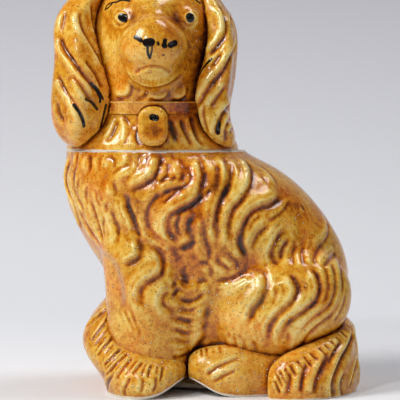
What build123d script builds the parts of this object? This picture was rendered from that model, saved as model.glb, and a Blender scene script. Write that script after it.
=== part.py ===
"""Lidded earthenware jar in the shape of a seated spaniel, head turned to the viewer.

Two pieces come apart: the jar (trunk, legs, tail) and the lid (head), which drops into the jar's round mouth.
Each of them is a set of pressed clay pieces, luted together with slip before firing.
Millimetres, +Z up, the viewer looks along +Y, origin on the table under the middle of the figure.
"""

import math
import os

from build123d import *

# Jar: trunk, mouth and floor
seam_height = 140.0  # table to the joint line between jar and lid
jar_wall = 8.0  # pressed clay, square to the surface
mouth_x = -31.0  # axis of the mouth and of the lid
mouth_radius = 37.0
mouth_depth = 11.0  # straight length of the mouth
mouth_lip = 2.0  # ledge under the mouth
seam_half_width = 51.2  # outside of jar and lid at the joint line
seam_half_depth = 46.0
foot_recess = 1.5  # underside of the floor above the table
slab_thickness = 8.0
slip_joint = 0.3  # film of slip between pieces that are luted together
seat_gap = 0.3  # dry joint between jar and lid

# Trunk outline below the joint line: height, reach of the chest, reach of the back, half depth
# The heights are drawn for a joint line at drawn_seam_height and move with it
drawn_seam_height = 140.0
trunk_stations = [
    (0.0, -52.0, 79.0, 35.0),
    (22.0, -54.0, 81.0, 37.0),
    (46.0, -57.0, 84.0, 41.0),
    (66.0, -59.0, 84.5, 46.0),
    (82.0, -68.5, 80.5, 50.5),
    (98.0, -77.0, 71.5, 53.0),
    (112.0, -81.5, 60.5, 53.5),
    (127.0, -82.5, 43.5, 51.0),
]

# Hair locks on each side of the trunk: number of stations that a lock starts below the joint line,
# then its bearing in degrees there and at each trunk station on the way down to its tip
trunk_locks = [
    (0, (-141, -148, -150, -150, -153)),
    (0, (-125, -133, -136, -136, -140)),
    (0, (-107, -117, -128, -129, -137)),
    (0, (-89, -101, -116, -123, -131)),
    (0, (-76, -87, -106, -116, -116)),
    (0, (-60, -76, -93, -107, -107)),
    (0, (-43, -64, -79, -90, -95)),
    (0, (-26, -48, -66, -79, -83)),
    (1, (-31, -52, -69, -73)),
    (2, (-36, -58, -63)),
    (2, (-22, -46, -52)),
    (3, (-33, -41)),
]
lock_half_width = 5.4
lock_half_depth = 3.4
lock_rise = 1.8  # proud of the trunk
lock_start = 2.5  # below the joint line
lock_tip_width = 1.6  # half width where a lock runs out

# Forelegs: height, middle in x, middle in y, half width, half depth
foreleg_stations = [
    (0.0, -33.0, -27.0, 23.0, 22.0),
    (30.0, -32.5, -28.0, 24.5, 23.0),
    (60.0, -33.0, -28.0, 24.5, 23.5),
    (84.0, -35.5, -27.0, 24.5, 22.0),
    (104.0, -38.0, -24.0, 22.5, 17.0),
]

# Feathered forefeet, leaning back and outward as they rise: as the forelegs
forepaw_stations = [
    (0.0, -34.0, -27.5, 22.5, 31.0),
    (14.0, -36.5, -27.5, 26.0, 33.5),
    (31.0, -43.5, -18.0, 27.5, 26.0),
    (44.0, -43.0, -13.0, 22.0, 20.0),
    (56.0, -39.0, -12.0, 16.0, 14.0),
]

# Haunches: an egg leaning back
haunch_middle = (43.5, -29.0, 51.0)
haunch_radii = (42.5, 28.5, 32.0)
haunch_lean = -18.0  # degrees, about the cross axis

# Hind feet, toe to heel: place along x, middle in y, half width, middle height, half height
hind_paw_stations = [
    (-9.0, -37.0, 5.0, 9.0, 7.0),
    (-5.0, -37.5, 10.5, 10.0, 13.0),
    (6.0, -38.5, 14.0, 11.0, 17.0),
    (24.0, -38.0, 14.5, 12.0, 17.0),
    (44.0, -34.0, 14.0, 12.0, 15.0),
]

# Plumed tail: wraps the rear from the far side to the near side
# By bearing in degrees: reach of the core line, half thickness, middle height, half height
tail_middle = (46.0, -16.0)
tail_stations = [
    (58.0, 38.0, 7.0, 10.0, 16.0),
    (35.0, 36.0, 10.0, 13.0, 25.0),
    (5.0, 33.0, 11.0, 14.0, 30.0),
    (-30.0, 33.5, 11.5, 12.0, 27.0),
    (-65.0, 35.5, 12.0, 8.5, 22.5),
    (-92.0, 35.5, 11.0, 6.5, 17.5),
    (-104.0, 35.5, 7.0, 5.5, 11.0),
]

# Lid: heights are above the joint line
lid_wall = 7.0
flange_clearance = 0.8  # radial, between flange and mouth
flange_wall = 4.5
flange_drop = 9.0  # depth that the flange reaches into the mouth
flange_grip = 7.0  # length that is luted inside the lid
head_top = 106.0
head_top_x = -29.0

# Head above the joint line: height, middle in x, middle in y, half width, half depth
head_stations = [
    (6.0, -31.0, 0.0, 49.5, 44.5),
    (14.0, -31.0, 0.0, 43.5, 40.5),
    (23.0, -30.5, -1.0, 39.0, 38.0),
    (32.0, -30.0, -2.0, 37.0, 37.0),
    (43.0, -29.5, -2.0, 37.8, 39.0),
    (56.0, -29.0, -2.0, 38.5, 41.0),
    (72.0, -29.0, -1.0, 38.5, 42.0),
    (86.0, -29.0, 0.0, 35.0, 39.0),
    (96.5, -29.0, 1.0, 26.5, 30.5),
    (103.0, -29.0, 2.0, 15.0, 18.0),
]

# Face: middle and radii of each swelling, heights above the joint line
muzzle_middle = (-29.5, -41.0, 60.0)
muzzle_radii = (20.5, 22.0, 16.5)
jaw_middle = (-30.0, -38.0, 45.5)
jaw_radii = (15.5, 18.5, 10.5)
eye_spacing = 39.0
eye_middle = (-28.0, -33.5, 76.0)
eye_radius = 6.2

# Ears: height above the joint line, middle in x, middle in y, half width, half depth
right_ear_stations = [
    (100.5, -54.5, -5.0, 4.0, 5.0),
    (97.0, -60.0, -6.5, 8.5, 11.0),
    (88.0, -68.5, -10.5, 10.8, 15.5),
    (75.0, -75.0, -14.0, 11.8, 18.5),
    (57.0, -73.0, -18.0, 13.6, 20.5),
    (35.0, -70.8, -21.0, 16.8, 21.0),
    (20.0, -71.5, -21.5, 16.0, 20.0),
    (10.0, -72.5, -22.0, 12.0, 17.0),
    (4.0, -72.5, -22.0, 7.0, 11.0),
    (1.5, -72.5, -22.0, 3.0, 5.0),
]
left_ear_stations = [
    (100.5, -6.5, -5.0, 4.0, 5.0),
    (97.0, -3.5, -6.5, 6.5, 11.0),
    (88.0, 1.0, -10.5, 7.5, 15.5),
    (75.0, 7.8, -14.0, 8.6, 18.5),
    (57.0, 8.6, -18.5, 9.4, 19.5),
    (35.0, 4.2, -20.5, 11.4, 20.5),
    (20.0, 4.4, -20.5, 9.8, 19.5),
    (10.0, 8.0, -21.0, 9.4, 16.5),
    (4.0, 10.2, -21.0, 7.4, 11.0),
    (1.5, 11.0, -21.0, 3.5, 5.0),
]
ear_locks = 5  # twisted hair locks round each ear
ear_lock_depth = 0.09  # as a share of the ear's own half width
ear_twist = 150.0  # degrees from root to tip

# Collar and padlock, heights above the joint line
collar_bottom = 21.0
collar_height = 9.0
collar_half_width = 41.0
collar_half_depth = 39.6
collar_middle = (-30.5, -1.2)
padlock_width = 16.0
padlock_height = 21.5
padlock_corner = 6.8
padlock_thickness = 16.0  # part of it is bedded in the ruff
padlock_front = -51.5
padlock_middle_height = 14.5
padlock_x = -29.5
padlock_edge = 2.4  # rounding of the front edge
keyhole_radius = 2.3
keyhole_rise = 5.0  # above the middle of the padlock
keyhole_depth = 3.0

section_points = 10
points_per_lock = 4
ground_reach = 400.0  # larger than the figure, for cutting at the table and the mid plane


def closed_face(points):
    """Flat face inside a smooth closed curve through the points."""
    return Face(Wire(Spline(*points, periodic=True)))


def oval(height, x, y, half_width, half_depth, grow=0.0):
    """Level oval section, grown outward all round; its curve starts on the far side."""
    turns = [math.pi / 2 + 2 * math.pi * i / section_points for i in range(section_points)]
    wide, deep = half_width + grow, half_depth + grow
    return closed_face([(x + wide * math.cos(t), y + deep * math.sin(t), height) for t in turns])


def upright_oval(centre, across, half_width, half_height):
    """Upright oval section, with its width along the level direction across."""
    turns = [2 * math.pi * i / section_points for i in range(section_points)]
    rise = Vector(0, 0, half_height)
    return closed_face([centre + across * (half_width * math.cos(t)) + rise * math.sin(t) for t in turns])


def level_loft(stations, lift=0.0, grow=0.0):
    """Solid through level ovals."""
    return loft([oval(height + lift, *rest, grow=grow) for height, *rest in stations])


def egg(middle, radii, lean=0.0, grow=0.0):
    """Ellipsoid, leaning about the cross axis."""
    grown = tuple(radius + grow for radius in radii)
    return Location(middle, (0, lean, 0)) * scale(Sphere(1.0), by=grown)


def lifted(middle):
    """A point given above the joint line, in the figure's own frame."""
    return (middle[0], middle[1], middle[2] + seam_height)


def far_twin(shape):
    """The far-side twin of a near-side piece."""
    return mirror(shape, about=Plane.XZ)


def half_space(side):
    """The near side (-1) or the far side (+1), back from the mid plane by half a film of slip."""
    middle = side * (ground_reach + slip_joint) / 2
    return Pos(0, middle, 0) * Box(ground_reach, ground_reach, 2 * ground_reach)


def above(height):
    """Everything over a level plane."""
    return Pos(0, 0, height + ground_reach / 2) * Box(ground_reach, ground_reach, ground_reach)


def trunk_sections(inset=0.0):
    """Trunk ovals up to the joint line; inset moves them in by a wall that is square to the surface."""
    rim = (seam_height, mouth_x - seam_half_width, mouth_x + seam_half_width, seam_half_depth)
    rise = seam_height / drawn_seam_height
    stations = [(height * rise, *reach) for height, *reach in trunk_stations] + [rim]
    ovals = []
    for i, (height, chest, back, half_depth) in enumerate(stations):
        low, high = stations[max(i - 1, 0)], stations[min(i + 1, len(stations) - 1)]
        span = high[0] - low[0]
        chest_inset = inset * math.hypot(1, (high[1] - low[1]) / span)
        back_inset = inset * math.hypot(1, (high[2] - low[2]) / span)
        left, right = chest + chest_inset, back - back_inset
        ovals.append((height, (left + right) / 2, 0.0, (right - left) / 2, half_depth - inset))
    return ovals


def trunk_form(grow=0.0):
    """Outside of the trunk, without its hollow."""
    return level_loft(trunk_sections(inset=-grow))


def trunk_oval(height):
    """The trunk's oval at a height, straight between stations: middle in x and y, half width, half depth."""
    ovals = trunk_sections()
    for low, high in zip(ovals, ovals[1:]):
        if height <= high[0]:
            share = (height - low[0]) / (high[0] - low[0])
            return [a + (b - a) * share for a, b in zip(low[1:], high[1:])]


def lock_section(bearing, height, half_width):
    """Level section of a hair lock, partly sunk in the trunk."""
    x, y, wide, deep = trunk_oval(height)
    turn = math.radians(bearing)
    out = Vector(math.cos(turn) / wide, math.sin(turn) / deep, 0).normalized()
    across = Vector(-out.Y, out.X, 0)
    skin = Vector(x + wide * math.cos(turn), y + deep * math.sin(turn), height)
    middle = skin - out * (lock_half_depth - lock_rise)
    turns = [2 * math.pi * i / section_points for i in range(section_points)]
    return closed_face(
        [middle + across * (half_width * math.cos(t)) + out * (lock_half_depth * math.sin(t)) for t in turns]
    )


def lock_form(start, bearings):
    """Hair lock that winds down the trunk and runs out at its tip."""
    stations = [oval[0] for oval in trunk_sections()]
    heights = [seam_height - lock_start, *reversed(stations[:-1])][start:]
    widths = [lock_half_width] * (len(bearings) - 1) + [lock_tip_width]
    return loft([lock_section(*sizes) for sizes in zip(bearings, heights, widths)])


def jar_hollow(grow=0.0):
    """Hollow of the jar: the inside of the trunk up to the shoulder, then the round mouth."""
    inner = trunk_sections(inset=jar_wall)
    shoulder_height = seam_height - mouth_depth
    below = [station for station in inner if station[0] < shoulder_height - jar_wall]
    lip_radius = mouth_radius + mouth_lip
    hollow = level_loft([*below, (shoulder_height, mouth_x, 0.0, lip_radius, lip_radius)], grow=grow)
    mouth = Pos(mouth_x, 0, shoulder_height - jar_wall) * Cylinder(
        mouth_radius + grow, jar_wall + mouth_depth, align=(Align.CENTER, Align.CENTER, Align.MIN)
    )
    return hollow + mouth


def foreleg_form(grow=0.0):
    return level_loft(foreleg_stations, grow=grow)


def forepaw_form(grow=0.0):
    return level_loft(forepaw_stations, grow=grow)


def haunch_form(grow=0.0):
    return egg(haunch_middle, haunch_radii, haunch_lean, grow)


def hind_paw_form(grow=0.0):
    """Long hind foot, toe forward."""
    across = Vector(0, 1, 0)
    sections = [
        upright_oval(Vector(x, y, middle), across, half_width + grow, half_height + grow)
        for x, y, half_width, middle, half_height in hind_paw_stations
    ]
    return loft(sections)


def tail_form():
    """Plume that lies on the table round the rear."""
    sections = []
    for bearing, reach, half_thickness, middle, half_height in tail_stations:
        out = Vector(math.cos(math.radians(bearing)), math.sin(math.radians(bearing)), 0)
        core = Vector(*tail_middle, middle) + out * reach
        sections.append(upright_oval(core, out, half_thickness, half_height))
    return loft(sections)


def head_form(grow=0.0):
    """Outside of neck and skull."""
    base = seam_height + seat_gap
    rim = (0.0, mouth_x, 0.0, seam_half_width, seam_half_depth)
    ovals = [oval(height + base, *rest, grow=grow) for height, *rest in [rim, *head_stations]]
    crown = Vertex(head_top_x, head_stations[-1][2], head_top + base + grow)
    return loft([*ovals, crown])


def head_hollow():
    """Inside of the lid, open below through the bore that grips the flange."""
    grip_radius = mouth_radius - flange_clearance + slip_joint
    step_radius = mouth_radius - flange_clearance - flange_wall
    inner = [
        (height, x, y, half_width - lid_wall, half_depth - lid_wall)
        for height, x, y, half_width, half_depth in head_stations
        if flange_grip < height and min(half_width, half_depth) > 2 * lid_wall
    ]
    step = (flange_grip / 2, mouth_x, 0.0, step_radius, step_radius)
    base = seam_height + seat_gap
    bore = Pos(mouth_x, 0, base) * extrude(Circle(grip_radius), flange_grip + slip_joint)
    return level_loft([step, *inner], lift=base) + bore


def ear_form(stations, turn, grow=0.0):
    """Hanging ear: an oval whose edge ripples into hair locks that twist down its length."""
    top, bottom = stations[0][0], stations[-1][0]
    count = points_per_lock * ear_locks
    sections = []
    for height, x, y, half_width, half_depth in stations:
        twist = turn * math.radians(ear_twist) * (top - height) / (top - bottom)
        points = []
        for i in range(count):
            t = 2 * math.pi * i / count
            swell = 1 + ear_lock_depth * math.cos(ear_locks * t + twist)
            wide, deep = half_width * swell + grow, half_depth * swell + grow
            points.append((x + wide * math.cos(t), y + deep * math.sin(t), height + seam_height))
        sections.append(closed_face(points))
    return loft(sections)


def padlock_form(grow=0.0):
    """Rounded tag with a blind keyhole, facing the viewer."""
    face = Plane(
        origin=(padlock_x, padlock_front, seam_height + padlock_middle_height),
        x_dir=(1, 0, 0),
        z_dir=(0, -1, 0),
    )
    outline = RectangleRounded(padlock_width + 2 * grow, padlock_height + 2 * grow, padlock_corner + grow)
    tag = extrude(face * outline, -padlock_thickness)
    tag = fillet(tag.faces().sort_by(Axis.Y)[0].edges(), padlock_edge)
    keyhole = extrude(face * Pos(0, keyhole_rise) * Circle(keyhole_radius), -keyhole_depth)
    return tag - keyhole


def build_jar():
    """The two mould halves of the trunk and the floor that is luted into them."""
    limb_seats = [foreleg_form(grow=slip_joint), haunch_form(grow=slip_joint)]
    locks = [lock_form(start, bearings) - limb_seats for start, bearings in trunk_locks]
    near_half = (trunk_form() & half_space(-1)) + locks - jar_hollow()
    near_room = Pos(0, -ground_reach / 2, foot_recess + slab_thickness / 2) * Box(
        ground_reach, ground_reach, slab_thickness
    )
    near_slab = jar_hollow(grow=-slip_joint) & near_room
    return {
        "jar_near_half": near_half,
        "jar_far_half": far_twin(near_half),
        "base_slab": near_slab + far_twin(near_slab),
    }


def build_limbs():
    """Legs, feet, haunches and tail, each trimmed to what it is luted on."""
    near_side, table = half_space(-1), above(0.0)
    trunk_seat = trunk_form(grow=slip_joint)
    foreleg_seat = foreleg_form(grow=slip_joint)
    haunch_seat = haunch_form(grow=slip_joint)
    foreleg = (foreleg_form() & near_side) - trunk_seat
    forepaw = (forepaw_form() & near_side) - trunk_seat - foreleg_seat
    haunch = (haunch_form() & near_side) - trunk_seat - foreleg_seat
    paw_seats = [trunk_seat, foreleg_seat, haunch_seat, forepaw_form(grow=slip_joint)]
    hind_paw = hind_paw_form() & table
    for seat in paw_seats:
        hind_paw = hind_paw - seat
    hind_paw_seat = hind_paw_form(grow=slip_joint)
    tail = tail_form() & table
    for seat in (trunk_seat, haunch_seat, hind_paw_seat):
        tail = tail - seat - far_twin(seat)
    near = {"foreleg": foreleg, "forepaw": forepaw, "haunch": haunch, "hind_paw": hind_paw}
    pieces = {f"near_{name}": piece for name, piece in near.items()}
    pieces.update({f"far_{name}": far_twin(piece) for name, piece in near.items()})
    return {**pieces, "tail": tail}


def build_lid():
    """Head pieces: two shell halves, ears, collar, padlock and the locating flange."""
    swellings = [egg(lifted(muzzle_middle), muzzle_radii), egg(lifted(jaw_middle), jaw_radii)]
    for side in (-1, 1):
        eye = (eye_middle[0] + side * eye_spacing / 2, *eye_middle[1:])
        swellings.append(egg(lifted(eye), (eye_radius,) * 3))
    hollow = head_hollow()
    face = head_form() & half_space(-1)
    for swelling in swellings:
        face = face + (swelling & half_space(-1))
    head_seat = head_form(grow=slip_joint)
    ear_sides = {"right_ear": (right_ear_stations, 1), "left_ear": (left_ear_stations, -1)}
    ears = {name: ear_form(*side) - head_seat for name, side in ear_sides.items()}
    collar = extrude(
        oval(seam_height + collar_bottom, *collar_middle, collar_half_width, collar_half_depth),
        collar_height,
        dir=(0, 0, 1),
    )
    collar_seats = [ear_form(*side, grow=slip_joint) for side in ear_sides.values()]
    for seat in (head_seat, padlock_form(grow=slip_joint), *collar_seats):
        collar = collar - seat
    flange_radius = mouth_radius - flange_clearance
    flange_length = flange_drop + flange_grip
    flange = Pos(mouth_x, 0, seam_height + seat_gap - flange_drop) * (
        extrude(Circle(flange_radius), flange_length)
        - extrude(Circle(flange_radius - flange_wall), flange_length)
    )
    return {
        "face_half": face - hollow,
        "head_back_half": (head_form() & half_space(1)) - hollow,
        **ears,
        "collar": collar,
        "padlock": padlock_form() - head_seat,
        "lid_flange": flange,
    }


def main():
    os.makedirs("parts", exist_ok=True)
    for name, piece in {**build_jar(), **build_limbs(), **build_lid()}.items():
        export_step(piece, f"parts/{name}.step")


main()
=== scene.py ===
import math

import bpy
import numpy as np
from mathutils import Matrix, Vector
from mathutils.bvhtree import BVHTree
from mathutils.kdtree import KDTree


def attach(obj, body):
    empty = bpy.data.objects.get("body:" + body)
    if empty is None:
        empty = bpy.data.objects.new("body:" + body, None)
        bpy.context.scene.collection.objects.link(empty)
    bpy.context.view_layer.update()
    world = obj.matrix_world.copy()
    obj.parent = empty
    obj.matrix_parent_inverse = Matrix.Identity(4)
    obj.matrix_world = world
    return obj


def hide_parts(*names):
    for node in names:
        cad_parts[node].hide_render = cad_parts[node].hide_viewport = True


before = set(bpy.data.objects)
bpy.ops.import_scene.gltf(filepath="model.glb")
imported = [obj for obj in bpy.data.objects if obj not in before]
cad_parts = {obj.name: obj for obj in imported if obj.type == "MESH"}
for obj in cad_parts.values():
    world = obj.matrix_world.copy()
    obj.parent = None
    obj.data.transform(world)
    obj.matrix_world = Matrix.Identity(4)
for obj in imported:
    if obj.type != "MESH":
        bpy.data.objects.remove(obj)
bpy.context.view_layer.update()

mm = 0.001
farOut = 300.0  # rays start this far outside the clay, in millimetres
weldGap = 0.02  # points of the copied solids nearer than this are one, in millimetres
sharpTurn = 55.0  # edges that turn more than this stay crisp, in degrees
strokeStep = 1.6  # between the points of a drawn stroke, in its own units
print("frame loaded")

# camera first: strokes are drawn on the clay through it, in photo pixels written as pairs
cameraFit = {
    "place": (-2.75, -1100.0, 160.0), "tiltDown": 2.585, "lens": 166.6, "sensor": 36.0, "pixels": 400,
}


def addCamera():
    bpy.ops.object.select_all(action="DESELECT")
    turn = (math.radians(90 - cameraFit["tiltDown"]), 0, 0)
    bpy.ops.object.camera_add(location=[v * mm for v in cameraFit["place"]], rotation=turn)
    cam = bpy.context.object
    cam.data.lens = cameraFit["lens"]
    cam.data.sensor_width = cameraFit["sensor"]
    bpy.context.scene.camera = cam


addCamera()
cameraTurn = Matrix.Rotation(math.radians(90 - cameraFit["tiltDown"]), 3, "X")
print("camera placed")


def onlyPick(*objs):
    bpy.ops.object.select_all(action="DESELECT")
    for obj in objs:
        obj.select_set(True)
    bpy.context.view_layer.objects.active = objs[0]


def clayCopy(name, nodeNames, swell):  # joined copy of pressed pieces, swelled so that they meet
    twins = []
    for nodeName in nodeNames:
        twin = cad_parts[nodeName].copy()
        twin.data = twin.data.copy()
        twin.parent = None
        for key in list(twin.keys()):
            del twin[key]
        bpy.context.scene.collection.objects.link(twin)
        twins.append(twin)
    onlyPick(*twins)
    if len(twins) > 1:
        bpy.ops.object.join()
    piece = bpy.context.object
    piece.name = piece.data.name = name
    piece.data.materials.clear()
    bpy.ops.object.mode_set(mode="EDIT")
    bpy.ops.mesh.select_all(action="SELECT")
    bpy.ops.mesh.remove_doubles(threshold=weldGap * mm)
    bpy.ops.object.mode_set(mode="OBJECT")
    fatten = piece.modifiers.new("swell", "DISPLACE")
    fatten.mid_level = 0
    fatten.strength = swell * mm
    bpy.ops.object.modifier_apply(modifier="swell")
    return piece


def treeOfNodes(nodeNames):
    verts, polys = [], []
    for nodeName in nodeNames:
        data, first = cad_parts[nodeName].data, len(verts)
        verts += [v.co / mm for v in data.vertices]
        polys += [[first + i for i in p.vertices] for p in data.polygons]
    return BVHTree.FromPolygons(verts, polys)


def meshFromRings(name, rings):  # closed skin through level rings
    count = len(rings[0])
    verts = [[v * mm for v in p] for ring in rings for p in ring]
    faces = []
    for r in range(len(rings) - 1):
        for i in range(count):
            j = (i + 1) % count
            faces.append((r * count + i, r * count + j, (r + 1) * count + j, (r + 1) * count + i))
    faces.append(tuple(reversed(range(count))))
    faces.append(tuple(range((len(rings) - 1) * count, len(rings) * count)))
    data = bpy.data.meshes.new(name)
    data.from_pydata(verts, [], faces)
    piece = bpy.data.objects.new(name, data)
    bpy.context.scene.collection.objects.link(piece)
    return piece


def measuredRings(nodeNames, heights, axisX, outside=True, count=120):  # walls of hollow pieces, by level
    tree, rings = treeOfNodes(nodeNames), []
    for z in heights:
        middle, ring = Vector((axisX(z), 0, z)), []
        for i in range(count):
            a = (i + 0.5) * 2 * math.pi / count
            out = Vector((math.cos(a), math.sin(a), 0))
            hit = tree.ray_cast(middle + out * farOut, -out)[0] if outside else tree.ray_cast(middle, out)[0]
            ring.append(hit if hit else middle + out)
        rings.append(ring)
    return rings


def hollowOut(piece, rings, low, high):  # cuts a measured room out of a piece, open at its ends
    ends = [[Vector((p.x, p.y, low)) for p in rings[0]], [Vector((p.x, p.y, high)) for p in rings[-1]]]
    room = meshFromRings("room", [ends[0], *rings, ends[1]])
    onlyPick(piece)
    cut = piece.modifiers.new("room", "BOOLEAN")
    cut.operation, cut.solver, cut.object = "DIFFERENCE", "EXACT", room
    bpy.ops.object.modifier_apply(modifier="room")
    bpy.data.objects.remove(room, do_unlink=True)


def voxelSkin(piece, size, rounds):  # even skin of small squares, then softened
    onlyPick(piece)
    clay = piece.modifiers.new("clay", "REMESH")
    clay.mode = "VOXEL"
    clay.voxel_size = size * mm
    bpy.ops.object.modifier_apply(modifier="clay")
    tidySkin(piece, rounds)


def pull(items, name, width, kind=np.float32):  # one table of numbers from a mesh
    values = np.empty(len(items) * width, kind)
    items.foreach_get(name, values)
    return values.reshape(-1, width)


def getPoints(piece):
    return pull(piece.data.vertices, "co", 3).astype(float) / mm


def setPoints(piece, pts):
    piece.data.vertices.foreach_set("co", (pts * mm).astype(np.float32).ravel())
    piece.data.update()


def getNormals(piece):
    return pull(piece.data.vertices, "normal", 3).astype(float)


def getEdges(piece):
    return pull(piece.data.edges, "vertices", 2, np.int32)


def relax(values, pairs, rounds, mask=None):  # evens values out along the edges
    size = len(values)
    count = np.maximum(np.bincount(pairs.ravel(), minlength=size), 1)[:, None]
    a, b = pairs[:, 0], pairs[:, 1]
    values = values.copy()
    for step in range(rounds):
        total = np.empty_like(values)
        for c in range(values.shape[1]):
            total[:, c] = np.bincount(a, values[b, c], size) + np.bincount(b, values[a, c], size)
        move = 0.5 * (total / count - values)
        values += move if mask is None else move * mask[:, None]
    return values


def skinTree(piece):
    verts = [v.co / mm for v in piece.data.vertices]
    return BVHTree.FromPolygons(verts, [tuple(p.vertices) for p in piece.data.polygons])


def smoothLine(knots, step):  # even points on a curve through the knots
    knots = np.array(knots, float)
    if len(knots) == 2:
        knots = np.array([knots[0], knots.mean(0), knots[1]])
    ends = np.vstack([2 * knots[0] - knots[1], knots, 2 * knots[-1] - knots[-2]])
    line = []
    for i in range(len(knots) - 1):
        p0, p1, p2, p3 = ends[i:i + 4]
        n = max(2, int(np.linalg.norm(p2 - p1) / step))
        for t in np.arange(n) / n:
            line.append(0.5 * (2 * p1 + (p2 - p0) * t + (2 * p0 - 5 * p1 + 4 * p2 - p3) * t ** 2
                               + (3 * p1 - p0 - 3 * p2 + p3) * t ** 3))
    return np.array(line + [knots[-1]])


def pixelHit(tree, x, y):  # where a photo pixel lies on the clay
    half = cameraFit["pixels"] / 2
    focal = cameraFit["lens"] / cameraFit["sensor"] * cameraFit["pixels"]
    ray = cameraTurn @ Vector(((x - half) / focal, (half - y) / focal, -1))
    return tree.ray_cast(Vector(cameraFit["place"]), ray.normalized())[0]


def strokeLine(flat):
    return smoothLine(list(zip(flat[0::2], flat[1::2])), strokeStep)


def drawnPath(tree, flat):  # stroke drawn in photo pixels: x, y, x, y ...
    hits = [pixelHit(tree, x, y) for x, y in strokeLine(flat)]
    return np.array([h for h in hits if h])


def drawnPaths(tree, strokes):  # those that lie on this piece
    return [path for path in (drawnPath(tree, flat) for flat in strokes) if len(path) > 2]


def roundPath(tree, flat, axisX, axisY=0.0):  # stroke drawn round an upright axis: bearing, height ...
    hits = []
    for bearing, z in strokeLine(flat):
        out = Vector((math.cos(math.radians(bearing)), math.sin(math.radians(bearing)), 0))
        hit = tree.ray_cast(Vector((axisX, axisY, z)) + out * farOut, -out)[0]
        if hit:
            hits.append(hit)
    return np.array(hits)


def drawnSpots(tree, spots):  # soft spots, from their pixel places to the clay
    found = [(pixelHit(tree, x, y), radius, amount) for x, y, radius, amount in spots]
    return [spot for spot in found if spot[0]]


def brushStrokes(tree, strokes):  # half width, then pixels
    return [(drawnPath(tree, stroke[1:]), stroke[0]) for stroke in strokes]


def farTwin(path):
    return path * np.array([1, -1, 1])


combShort = (9, 7)  # the part of a stroke that its combing leaves free at the head and at the tip: one in ...


def combed(tree, path, shifts):  # finer strokes that run beside a stroke, on its proud side
    lines, count = [], len(path)
    for shift in shifts:
        line = []
        for k in range(count):
            spot, normal = tree.find_nearest(Vector(path[k]))[:2]
            ahead = Vector(path[min(k + 1, count - 1)] - path[max(k - 1, 0)])
            line.append(tree.find_nearest(spot - normal.cross(ahead).normalized() * shift)[0])
        lines.append(np.array(line)[count // combShort[0]:count - count // combShort[1]])
    return lines


def pathReach(pts, normals, path, reach):  # points near a path: which, how far off, how far along, which side
    if len(path) < 2:
        return (), None, None, None
    near = np.all((pts > path.min(0) - reach) & (pts < path.max(0) + reach), axis=1)
    index = np.nonzero(near)[0]
    if not len(index):
        return (), None, None, None
    p, a, b = pts[index], path[:-1], path[1:]
    best = np.full(len(p), 1e9)
    along = np.zeros(len(p))
    side = np.zeros(len(p))
    for k in range(len(a)):
        d = b[k] - a[k]
        t = np.clip(((p - a[k]) @ d) / max(d @ d, 1e-9), 0, 1)
        gap = p - a[k] - t[:, None] * d
        dist = np.linalg.norm(gap, axis=1)
        better = dist < best
        best[better] = dist[better]
        along[better] = (k + t[better]) / len(a)
        side[better] = np.sign(np.einsum("ij,ij->i", np.cross(normals[index], d), gap))[better]
    keep = best < reach
    return index[keep], best[keep], along[keep], side[keep]


carveLook = {
    "evenRounds": 3, "fadeRun": 0.6, "fadeShare": 0.4, "lipShare": 0.8, "calmReach": 4.0, "calmLeast": 0.35,
}
noJoint = -99.0  # a height far from any joint line


def carve(piece, tools, calmHeight=noJoint):  # locks: proud on one side of a stroke, sunk on the other
    pts, normals, pairs = getPoints(piece), getNormals(piece), getEdges(piece)
    normals = relax(normals, pairs, carveLook["evenRounds"])
    normals /= np.linalg.norm(normals, axis=1)[:, None]
    rise, dip = np.zeros(len(pts)), np.zeros(len(pts))
    for tool, paths in tools:
        for path in paths:
            index, dist, along, side = pathReach(pts, normals, path, tool["run"])
            if not len(index):
                continue
            length = np.linalg.norm(np.diff(path, axis=0), axis=1).sum()
            fade = min(tool["run"] * carveLook["fadeRun"], length * carveLook["fadeShare"])
            taper = np.clip(np.minimum(along, 1 - along) * length / fade, 0, 1)
            taper = taper * taper * (3 - 2 * taper)
            proud = side * tool.get("hand", 1) < 0
            back = 0.5 + 0.5 * np.cos(math.pi * np.clip(dist / tool["run"], 0, 1))
            crest = (1 - np.exp(-(dist / tool["lip"]) ** 2)) * back * proud
            rise[index] = np.maximum(rise[index], tool["step"] * taper * crest)
            foot = np.exp(-(dist / np.where(proud, tool["lip"] * carveLook["lipShare"], tool["foot"])) ** 2)
            dip[index] = np.maximum(dip[index], tool["dip"] * taper * foot)
    calm = np.clip(np.abs(pts[:, 2] - calmHeight) / carveLook["calmReach"], carveLook["calmLeast"], 1)
    relief = (rise - dip) * calm  # flatter beside a joint line
    pts += normals * relief[:, None]
    setPoints(piece, pts)
    return relief


def lookTool(*sizes):
    return dict(zip(("step", "lip", "run", "dip", "foot"), sizes))


def otherHand(tool):
    return {**tool, "hand": -tool.get("hand", 1)}


def softSpot(pts, place, radius, power=2):
    return np.exp(-(np.linalg.norm(pts - np.array(place), axis=1) / radius) ** power)


def swellAt(piece, spots, way=None):  # soft swellings and hollows, outward or one way: place, radius, height
    pts = getPoints(piece)
    ways = getNormals(piece) if way is None else np.tile(way, (len(pts), 1))
    for place, radius, height in spots:
        pts += ways * (height * softSpot(pts, place, radius))[:, None]
    setPoints(piece, pts)


def calmAt(piece, spots, rounds):  # softens the skin round some places: place, radius, amount
    pts = getPoints(piece)
    mask = np.zeros(len(pts))
    for place, radius, amount in spots:
        mask = np.maximum(mask, amount * softSpot(pts, place, radius, 4))
    setPoints(piece, relax(pts, getEdges(piece), rounds, mask))


archLook = {"x": -9.5, "reach": 14.0, "height": 9.5, "top": 30.0, "keel": 8.0, "side": 14.0}


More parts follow.
